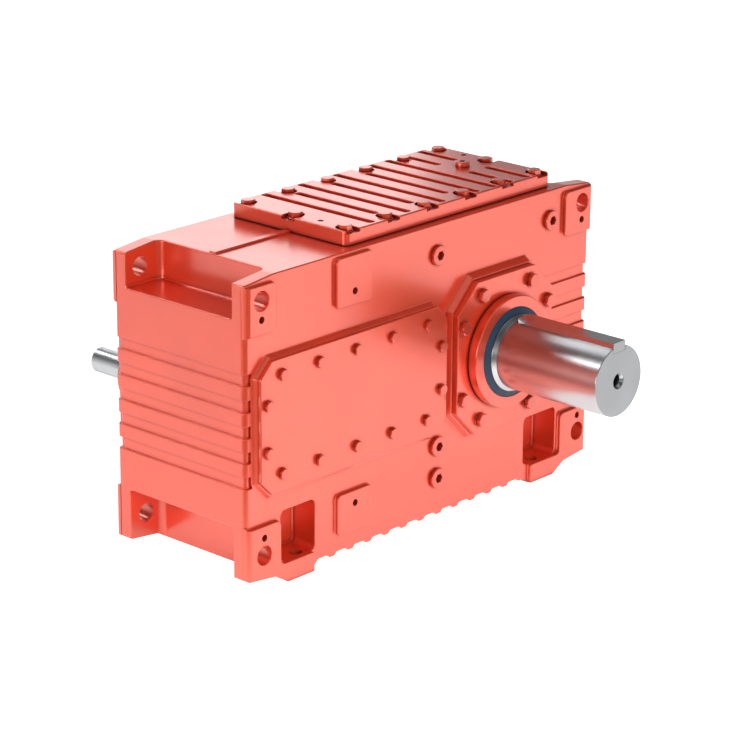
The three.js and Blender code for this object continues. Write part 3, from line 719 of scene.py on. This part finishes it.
# ------------------------------------------------------------------ hexagon bolts
def bolt_shape(flats, head, washer_r, washer_h, shank=0.0, shank_r=0.0):
    """Bolt standing on the origin along +Z, on a plain washer.

    Returns its vertices, measured from the origin of the layout, and its faces.
    """
    top = washer_h + head
    bolt = prism(hexagon(0, 0, flats), washer_h + 0.5, top, "z")
    chamfer = [(0, washer_h - 1), (flats, washer_h - 1), (flats, top - 3.2),
               (flats / 2 * 1.155 + 0.05, top - 1.7), (flats / 2, top - 0.25),
               (flats / 2 * 0.93, top), (0, top)]
    keep(bolt, lathe(chamfer, (0, 0), 48, "z"))
    face = [(0, washer_h - 0.05), (flats * 0.47, washer_h - 0.05),
            (flats * 0.47, washer_h + 1.0), (0, washer_h + 1.0)]
    washer = [(0, 0), (washer_r - 0.4, 0), (washer_r, 0.4), (washer_r, washer_h - 0.5),
              (washer_r - 0.5, washer_h), (0, washer_h)]
    add(bolt, lathe(face, (0, 0), 48, "z"), lathe(washer, (0, 0), 48, "z"))
    if shank:
        add(bolt, upright_rod(0, 0, shank_r, -shank, 2))
    tidy(bolt)
    origin = Vector(place((0, 0, 0)))
    verts = [v.co - origin for v in bolt.data.vertices]
    faces = [list(f.vertices) for f in bolt.data.polygons]
    discard(bolt)
    return verts, faces


HEAD_TILT = {"+z": 0, "-y": 90, "+y": -90}  # degrees about X for where the head points


def bolts(shape, places, direction):
    """One mesh of the bolt repeated at places, each (x, y, z, turn in degrees)."""
    bolt_verts, bolt_faces = shape
    tilt = Matrix.Rotation(math.radians(HEAD_TILT[direction]), 3, "X")
    verts, faces = [], []
    for x, y, z, turn in places:
        rotation = tilt @ Matrix.Rotation(math.radians(turn), 3, "Z")
        base = Vector(place((x, y, z)))
        first = len(verts)
        verts += [base + rotation @ v for v in bolt_verts]
        faces += [[first + i for i in f] for f in bolt_faces]
    return mesh_object(verts, faces)


M16_HIGH_WASHER = bolt_shape(flats=24, head=10, washer_r=15, washer_h=3)
M16_SHANK = bolt_shape(flats=24, head=10, washer_r=14.5, washer_h=1.2, shank=16, shank_r=7.9)
M16 = bolt_shape(flats=24, head=10, washer_r=14.5, washer_h=1.2)
M12 = bolt_shape(flats=19, head=7.5, washer_r=11.5, washer_h=1.0)

# ------------------------------------------------------------------ inspection cover
COVER_BOTTOM, COVER_TOP = 599.1, 626.0
COVER_GROOVE_PITCH, COVER_GROOVE_WIDTH = 49.7, 17
BOLT_POCKET_R = 17


def cover_groove_spans(k):
    """(y0, y1) of the grooves in row k, counted from the left."""
    if k >= 8:
        return [(28, 135), (213, 310)]
    return [(64, 271) if k in (1, 3, 5) else (28, 310)]


def bolt_pocket(x, y):
    """Half circle towards the middle of the cover, straight sides out through the edge."""
    r = BOLT_POCKET_R
    shape = arc(0, 0, r, 0, 180, 18) + [(-r, -60), (r, -60)]
    if y < 100:
        cos_turn, sin_turn = 1, 0
    elif y > 250:
        cos_turn, sin_turn = -1, 0
    elif x < 400:
        cos_turn, sin_turn = 0, -1
    else:
        cos_turn, sin_turn = 0, 1
    turned = [(x + (u * cos_turn - v * sin_turn), y + (u * sin_turn + v * cos_turn))
              for u, v in shape]
    return feature(turned, 0, COVER_TOP, COVER_SEAT, 1.4, 0.8, "z")


def inspection_cover():
    cover = plate(rectangle(285, 873, 20, 316), 12, COVER_BOTTOM, COVER_TOP, 2.8, "z", segments=8)
    for k in range(10):
        x = 375 + COVER_GROOVE_PITCH * k
        for y0, y1 in cover_groove_spans(k):
            cut(cover, feature(rectangle(x - COVER_GROOVE_WIDTH, x, y0, y1), 5.5,
                               COVER_TOP, COVER_TOP - 8, 1.5, 2.2, "z"))
    for x, y in COVER_BOLTS:
        cut(cover, bolt_pocket(x, y))
    cut(cover, gather([upright_rod(x, y, TAPPED_R, 590, 640, 24) for x, y in COVER_BOLTS]))
    small = [upright_rod(x, y, 6, 590, 640, 24) for x, y in ((307, 105), (854, 228))]
    cut(cover, gather(small + [upright_rod(*VENT, 12.3, 590, 640)]))
    return tidy(cover)


def vent_plug():
    profile = [(0, 606), (12, 606), (12, 626.3), (14.5, 626.3), (14.5, 634.4),
               (13.9, 635.6), (12.8, 636), (0, 636)]
    vent = lathe(profile, VENT, 48, "z")
    return tidy(cut(vent, prism(hexagon(*VENT, 12), 627, 640, "z")))


piece(inspection_cover(), "inspection_cover_casting", COVER, "inspection_cover")
cover_bolts = bolts(M16_HIGH_WASHER, [(x, y, COVER_SEAT + 0.05, 11 * i)
                                      for i, (x, y) in enumerate(COVER_BOLTS)], "+z")
piece(cover_bolts, "inspection_cover_bolts", FASTENER)
piece(vent_plug(), "vent_screw_plug", FASTENER, "vent_plug")


# ------------------------------------------------------------------ screw plugs
def screw_plug(x, z):
    """Plug in the front face with a hexagon socket."""
    profile = [(0, -8), (17.6, -8), (18.9, -7.6), (19.5, -6.6), (19.5, -0.3),
               (16.2, -0.3), (16.2, 18), (0, 18)]
    return tidy(cut(lathe(profile, (x, z), 48), prism(hexagon(x, z, 17), -20, 1)))


for label, (x, z) in PLUGS.items():
    front_plug = screw_plug(x, z)
    for side, plug in (("front", front_plug), ("rear", mirrored(front_plug))):
        piece(plug, f"{side}_{label}_screw_plug", FASTENER, f"{side}_{label}_plug")


# ------------------------------------------------------------------ bearing covers
def left_covers():
    """Front plate, and the rear plate with its hole for the input shaft."""
    front = plate(chamfered(24, 529, 188, 442, 29), 5, -LEFT_BOSS - GAP, -LEFT_PLATE, 1.6)
    rear = cut(mirrored(front), rod(X_INPUT, AXIS_Z, 44, 330, 400, 64))
    return tidy(front), tidy(rear)


def output_covers():
    """Front plate with its holes for the output shaft and bolts, and the closed rear plate."""
    points = chamfered(X_OUTPUT - 141, X_OUTPUT + 141, 160, 469, 56)
    front = plate(points, 6, -OUTPUT_BOSS - GAP, -OUTPUT_PLATE, 2.0)
    spigot = [(102, -17), (119.7, -17), (119.7, -7.5), (118.7, -6.5), (102, -6.5)]
    add(front, lathe(spigot, (X_OUTPUT, AXIS_Z), 96))
    rear = mirrored(front)
    cut(front, rod(X_OUTPUT, AXIS_Z, 95, -60, 0, 96))
    cut(front, gather([rod(x, z, TAPPED_R, -40, 5, 24) for x, z in OUTPUT_BOLTS]))
    return tidy(front), tidy(rear)


front_cover, rear_cover = left_covers()
piece(front_cover, "front_bearing_cover_plate", COVER, "front_bearing_cover")
piece(rear_cover, "rear_bearing_cover_plate", COVER, "rear_bearing_cover")
for side, y, turn, direction in (("front", -LEFT_PLATE - 0.02, 17, "-y"),
                                 ("rear", WIDTH + LEFT_PLATE + 0.02, 23, "+y")):
    places = [(x, y, z, turn * i) for i, (x, z) in enumerate(LEFT_BOLTS)]
    piece(bolts(M12, places, direction), f"{side}_bearing_cover_bolts", FASTENER)

front_cover, rear_cover = output_covers()
piece(front_cover, "output_bearing_cover_plate", COVER, "output_bearing_cover")
piece(rear_cover, "rear_output_cover_plate", COVER, "rear_output_cover")
for i, (x, z) in enumerate(OUTPUT_BOLTS):
    piece(bolts(M16_SHANK, [(x, -OUTPUT_PLATE - GAP, z, 15 + 31 * i)], "-y"),
          f"output_cover_hex_bolt_{i + 1}", FASTENER, f"output_cover_bolt_{i + 1}")
places = [(x, WIDTH + OUTPUT_PLATE + 0.02, z, 15 + 23 * i) for i, (x, z) in enumerate(OUTPUT_BOLTS)]
piece(bolts(M16, places, "+y"), "rear_output_cover_bolts", FASTENER)

# ------------------------------------------------------------------ seal retainers and seals
# profiles as (radius, y)
OUTPUT_RETAINER = [(79, -28.3), (108, -28.3), (112, -30.5), *arc(109, -47, 3, 0, -90),
                   *arc(90.6, -49.0, 1.0, 270, 180), (89.6, -34), (79, -34)]
OUTPUT_SEAL = [(89.3, -34.4), (89.3, -49.0), (88.9, -49.5), (77.9, -55.3), (77.2, -55.5),
               (76.8, -55.0), (76.8, -50.0), (78.6, -46.0), (78.8, -41.5), (76.8, -38.6),
               (78.2, -36.4), (79.8, -34.4)]
INPUT_RETAINER = [(30, 353.3), (30, 375), (40.3, 375), (40.3, 384.8), (41.3, 386), (57, 386),
                  (59.2, 385.2), (60, 383.2), (60, 355.3), (58, 353.3)]
INPUT_SEAL = [(40, 375.4), (40, 385.0), (39.2, 385.6), (37.4, 385.6), (36.8, 384.8), (36.0, 382.0),
              (34.0, 381.2), (32.4, 382.0), (31.2, 385.0), (29.6, 385.4), (28.4, 384.6),
              (28.2, 383.0), (29.0, 380.6), (30.2, 378.6), (29.2, 376.6), (31.0, 375.4)]

for end, x, segments, retainer, seal in (
        ("output", X_OUTPUT, 128, OUTPUT_RETAINER, OUTPUT_SEAL),
        ("input", X_INPUT, 96, INPUT_RETAINER, INPUT_SEAL)):
    piece(lathe(retainer, (x, AXIS_Z), segments), f"{end}_seal_retainer_ring", COVER,
          f"{end}_seal_retainer")
    piece(lathe(seal, (x, AXIS_Z), segments), f"{end}_lip_seal", SEAL,
          f"{end}_shaft_seal", angle=50)


# ------------------------------------------------------------------ shafts, pinion and keys
def gear_points(module, teeth, flank_steps=5):
    """Involute gear outline round the origin, 20 degree pressure angle, and its pitch radius."""
    pitch = module * teeth / 2
    base, tip, foot = pitch * math.cos(math.radians(20)), pitch + module, pitch - 1.25 * module
    shoulder = tip - 0.06 * module  # where the tip chamfer starts
    backlash = 0.5
    half = (math.pi * module * 0.5 - backlash) / (2 * pitch)

    def involute(radius):
        a = math.acos(min(1, base / radius))
        return math.tan(a) - a

    def half_angle(radius):
        widened = 0.10 * module / radius if radius == foot else 0
        return half + involute(pitch) - involute(max(radius, base)) + widened

    low = max(base, foot + 0.3 * module)
    radii = [foot] + [low + (shoulder - low) * i / flank_steps for i in range(flank_steps + 1)]
    side = [(radius, half_angle(radius)) for radius in radii]
    side.append((tip, half_angle(shoulder) - 0.08 * module / tip))
    polar = []
    for i in range(teeth):
        centre = 2 * math.pi * i / teeth
        polar += [(radius, centre - a) for radius, a in side]
        polar += [(radius, centre + a) for radius, a in side[::-1]]
    return [(radius * math.cos(a), radius * math.sin(a)) for radius, a in polar], pitch


def helical_gear(module, teeth, y0, y1, x, helix=10, steps=8):
    """Gear on the axis at x from y0 to y1, with its helix angle in degrees."""
    points, pitch = gear_points(module, teeth)
    rate = math.tan(math.radians(helix)) / pitch
    outlines, levels = [], []
    for k in range(steps + 1):
        y = y0 + (y1 - y0) * k / steps
        a = -rate * (y - (y0 + y1) / 2)
        outlines.append([(x + u * math.cos(a) - v * math.sin(a),
                          AXIS_Z + u * math.sin(a) + v * math.cos(a)) for u, v in points])
        levels.append(y)
    return loft(outlines, levels, "y")


def keyway(x, shaft_r, width, height, depth, y0, y1):
    """Block that cuts a keyway into the top of a shaft, with clearance all round."""
    floor_z = AXIS_Z + shaft_r - depth
    return box(x - width / 2 - GAP, x + width / 2 + GAP, y0 - GAP, y1 + GAP,
               floor_z - GAP, floor_z + height + GAP)


def parallel_key(x, shaft_r, width, height, depth, y0, y1, edge, end_radius, segments):
    z0 = AXIS_Z + shaft_r - depth
    return plate(rectangle(x - width / 2, x + width / 2, y0, y1), end_radius, z0, z0 + height,
                 edge, "z", steps=2, segments=segments)


OUTPUT_R, OUTPUT_END = 70, -305.0       # free end of the output shaft
OUTPUT_KEY_WIDTH, OUTPUT_KEY_DEPTH = 36, 12
INPUT_R = 25                            # free end of the input shaft
INPUT_KEY_WIDTH = 14


def output_shaft():
    end = OUTPUT_END
    # (radius, y)
    profile = [(0, end), (68.6, end), (69.1, end + 0.15), (69.85, end + 0.9), (70, end + 1.5),
               (70, -64.6), (70.4, -63.9), (76.2, -58.1), (76.5, -57.4), (76.5, -14), (80, -8),
               (80, 70), (88, 70), (88, 162.3), (100, 162.3), (100, 176), (86, 178), (86, 290.7),
               (80, 290.7), (80, 340), (78, 342), (0, 342)]
    centre_hole = [(0, end + 60), (11.5, end + 60), (11.5, end + 7.5), (12, end + 6.5),
                   (15.2, end + 1.4), (15.8, end + 0.9), (15.8, end - 2), (0, end - 2)]
    shaft = lathe(profile, (X_OUTPUT, AXIS_Z), 160)
    cut(shaft, keyway(X_OUTPUT, OUTPUT_R, OUTPUT_KEY_WIDTH, 30, OUTPUT_KEY_DEPTH, end - 10, -69.5))
    cut(shaft, keyway(X_OUTPUT, 88, 45, 30, 15, 76, 158))
    cut(shaft, lathe(centre_hole, (X_OUTPUT, AXIS_Z)))
    return tidy(shaft, 0.2)


def input_shaft():
    # (radius, y)
    profile = [(0, -2), (29, -2), (30, -1), (30, 27.6), (36, 27.6), (36, 32), (27, 34), (27, 302),
               (36, 304), (36, 308.4), (30, 308.4), (30, 342), (27.5, 344), (27.5, 388.6),
               (27.2, 389.4), (25.3, 390.8), (25, 391.6), (25, 494.4), (24.7, 495.2),
               (23.3, 496.7), (22.6, 497), (0, 497)]
    centre_hole = [(0, 467), (8, 467), (8, 491.5), (8.4, 492.2), (11.4, 495.4), (12.6, 496),
                   (12.6, 499), (0, 499)]
    shaft = lathe(profile, (X_INPUT, AXIS_Z), 96)
    add(shaft, helical_gear(module=4, teeth=17, y0=233, y1=279, x=X_INPUT))
    cut(shaft, prism(rounded(X_INPUT - 7.2, X_INPUT + 7.2, 399.8, 490.2, 7.1),
                     AXIS_Z + INPUT_R - 5.7, AXIS_Z + 40, "z"))
    cut(shaft, lathe(centre_hole, (X_INPUT, AXIS_Z), 48))
    return tidy(shaft, 0.2)


piece(output_shaft(), "output_shaft_turned", SHAFT, "output_shaft",
      body="output_shaft_body", angle=28)
output_key = parallel_key(X_OUTPUT, OUTPUT_R, OUTPUT_KEY_WIDTH, height=20, depth=OUTPUT_KEY_DEPTH,
                          y0=OUTPUT_END + 0.1, y1=-73, edge=0.5, end_radius=1.0, segments=3)
piece(output_key, "output_parallel_key", KEY, "output_shaft_key", body="output_shaft_body")
piece(input_shaft(), "input_pinion_shaft_turned", SHAFT, "input_pinion_shaft",
      body="input_shaft_body", angle=28)
input_key = parallel_key(X_INPUT, INPUT_R, INPUT_KEY_WIDTH, height=9, depth=5.5, y0=400.2, y1=489.8,
                         edge=0.6, end_radius=INPUT_KEY_WIDTH / 2 - 0.1, segments=10)
piece(input_key, "input_parallel_key", KEY, "input_shaft_key", body="input_shaft_body")

# ------------------------------------------------------------------ CAD nodes shown as they are
# the first word found in a node's name picks its look; all others are gear steel
NODE_LOOKS = {"gasket": GASKET, "bearing": BEARING_STEEL, "key": KEY[0]}
for name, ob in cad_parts.items():
    if ob.hide_render:
        continue
    look = next((material for word, material in NODE_LOOKS.items() if word in name), GEAR_STEEL)
    ob.data.materials.clear()
    ob.data.materials.append(look)


# ------------------------------------------------------------------ studio floor (metres)
def floor_material():
    """White floor that looks different to the camera, to mirrors and to diffuse light."""
    material = bpy.data.materials.new("studio_floor")
    tree = blank_tree(material)
    output = add_node(tree, "OutputMaterial")
    matt = add_node(tree, "BsdfPrincipled", {
        "Base Color": (0.93, 0.93, 0.93, 1), "Roughness": 0.9, "Specular IOR Level": 0.1,
    }).outputs[0]
    rays = add_node(tree, "LightPath").outputs
    # the camera sees the floor with a glow added
    glow = add_node(tree, "Emission", {"Strength": 0.85}).outputs[0]
    glowing = add_node(tree, "AddShader", {0: matt, 1: glow}).outputs[0]
    by_camera = add_node(tree, "MixShader", {0: rays["Is Camera Ray"], 2: glowing})
    # mirrored in glossy surfaces, the floor glows more in front of the housing than behind it
    position = add_node(tree, "NewGeometry").outputs["Position"]
    depth = add_node(tree, "SeparateXYZ", {0: position}).outputs["Y"]
    strength = remap(tree, depth, low=0.5, high=0.36, start=-0.45 + SHIFT, end=0.1 + SHIFT)
    card = add_node(tree, "Emission", {"Strength": strength}).outputs[0]
    with_card = add_node(tree, "AddShader", {0: matt, 1: card}).outputs[0]
    by_mirror = add_node(tree, "MixShader", {0: rays["Is Glossy Ray"], 1: matt})
    # and it fades to dark towards the camera
    dark = add_node(tree, "BsdfDiffuse", {"Color": (0.10, 0.10, 0.10, 1)}).outputs[0]
    towards_camera = add_node(tree, "VectorMath", {0: position, 1: (-0.738, -0.675, 0)},
                              operation="DOT_PRODUCT").outputs["Value"]
    fade = remap(tree, towards_camera, low=0.0, high=1.0, start=0.45, end=1.0)
    shade = add_node(tree, "MixShader", {0: fade, 1: with_card, 2: dark})
    feed(tree, by_mirror.inputs[2], shade.outputs[0])
    feed(tree, by_camera.inputs[1], by_mirror.outputs[0])
    feed(tree, output.inputs[0], by_camera.outputs[0])
    return material


FLOOR_HALF, FLOOR_Z = 40, -0.0005
floor = link_object("studio_floor", bpy.data.meshes.new("studio_floor"))
floor_corners = rectangle(-FLOOR_HALF, FLOOR_HALF, -FLOOR_HALF, FLOOR_HALF)
floor.data.from_pydata([(x, y, FLOOR_Z) for x, y in floor_corners], [], [[0, 1, 2, 3]])
floor.data.materials.append(floor_material())

# ------------------------------------------------------------------ render settings and world
scene = bpy.context.scene
scene.view_settings.view_transform = "Standard"
scene.view_settings.look = "None"
scene.view_settings.exposure = 0.33
scene.cycles.caustics_reflective = False
scene.cycles.caustics_refractive = False
scene.cycles.sample_clamp_indirect = 3.0
scene.cycles.max_bounces = 8

# light of the sky, as (height: 0 straight down, 0.5 horizon, 1 straight up; colour)
SKY = [
    (0.48, (0.70, 0.70, 0.71, 1)),
    (0.57, (0.38, 0.38, 0.385, 1)),
    (0.67, (0.16, 0.16, 0.16, 1)),
    (0.78, (0.04, 0.04, 0.04, 1)),
    (0.90, (0.07, 0.07, 0.07, 1)),
    (1.0, (0.45, 0.45, 0.45, 1)),
]


def studio_world():
    """White to the camera, a banded sky to everything else."""
    world = bpy.data.worlds.new("studio")
    tree = blank_tree(world)
    output = add_node(tree, "OutputWorld")
    direction = add_node(tree, "TexCoord").outputs["Generated"]
    up_part = add_node(tree, "SeparateXYZ", {0: direction}).outputs["Z"]
    height = add_node(tree, "Math", {0: up_part, 1: 0.5, 2: 0.5}, operation="MULTIPLY_ADD")
    sky = add_node(tree, "ValToRGB", {0: height.outputs[0]})
    stops = sky.color_ramp.elements
    for stop, (position, colour) in zip(stops, (SKY[0], SKY[-1])):
        stop.position = position
        stop.color = colour
    for position, colour in SKY[1:-1]:
        stops.new(position).color = colour
    lit = add_node(tree, "Background", {"Color": sky.outputs[0], "Strength": 1.0})
    seen = add_node(tree, "Background", {"Color": (1, 1, 1, 1), "Strength": 1.0})
    camera_ray = add_node(tree, "LightPath").outputs["Is Camera Ray"]
    mixed = add_node(tree, "MixShader", {0: camera_ray, 1: lit.outputs[0], 2: seen.outputs[0]})
    feed(tree, output.inputs[0], mixed.outputs[0])
    return world


scene.world = studio_world()


# ------------------------------------------------------------------ lights (metres, watts)
def softbox(name, at, aim, width, height, power, hidden_from=None):
    """Area light; at and aim are measured from the middle of the housing."""
    light = bpy.data.lights.new(name, "AREA")
    light.shape = "RECTANGLE"
    light.size, light.size_y = width, height
    light.energy = power
    ob = link_object(name, light)
    ob.location = (at[0], at[1] + SHIFT, at[2])
    ob.rotation_euler = (Vector(aim) - Vector(at)).to_track_quat("-Z", "Y").to_euler()
    if hidden_from:
        setattr(ob, "visible_" + hidden_from, False)


# name, position, aim, width, height, power, kind of ray it is hidden from
SOFTBOXES = [
    ("overhead", (-1.2, -0.4, 3.0), (0, 0, 0.3), 1.6, 1.6, 1.2, None),
    ("behind", (2.2, 3.45, 2.1), (0, 0, 0.5), 2.7, 2.0, 18, "diffuse"),
    ("band", (-1.35, 2.3, 2.85), (0.2, -0.25, 0.35), 2.4, 0.45, 13, "diffuse"),
    ("crown", (0.8, 1.95, 3.08), (0.2, -0.35, 0.38), 1.5, 1.0, 5, "diffuse"),
    ("front_fill", (-1.6, -3.8, 1.6), (0, 0, 0.3), 2.2, 2.2, 160, "glossy"),
    ("left_fill", (-3.7, 0.1, 0.75), (0, 0, 0.3), 1.8, 1.3, 38, None),
]
for row in SOFTBOXES:
    softbox(*row)

# ------------------------------------------------------------------ camera
CAMERA_AT = (-3.9994, -3.6664 + SHIFT, 2.1181)
CAMERA_ROLL = math.radians(0.36)

camera = link_object("camera", bpy.data.cameras.new("camera"))
camera.data.sensor_width = 36
camera.data.lens = 145.8
camera.data.clip_end = 100
back = Vector((-0.6994, -0.6392, 0.3199)).normalized()
right = Vector((0.6747, -0.7381, 0.0))
right = (right - back * right.dot(back)).normalized()
up = back.cross(right)
rolled_right = right * math.cos(CAMERA_ROLL) + up * math.sin(CAMERA_ROLL)
rolled_up = -right * math.sin(CAMERA_ROLL) + up * math.cos(CAMERA_ROLL)
rows = [(*row, at) for row, at in zip(zip(rolled_right, rolled_up, back), CAMERA_AT)]
camera.matrix_world = Matrix((*rows, (0, 0, 0, 1)))
scene.camera = camera
